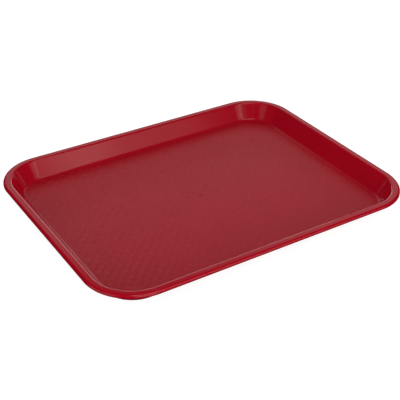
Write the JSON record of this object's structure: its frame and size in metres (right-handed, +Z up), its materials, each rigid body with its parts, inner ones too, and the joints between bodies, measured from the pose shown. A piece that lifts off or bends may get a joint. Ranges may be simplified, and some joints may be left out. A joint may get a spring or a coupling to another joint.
{
  "type": "fast food tray",
  "caption": "Rectangular moulded serving tray with rounded corners, a flat floor, sloping walls and a turned-down rim.",
  "frame": {"origin": "on the table, under the centre of the floor", "axes": "+X along the tray's length, +Y across it, +Z up"},
  "size_m": [0.454, 0.352, 0.0254],
  "materials": {
    "tray": "glossy red polypropylene on the walls, rim and underside, with a matte woven texture on the floor"
  },
  "bodies": {
    "root": {"tray": "tray"}
  },
  "joints": []
}
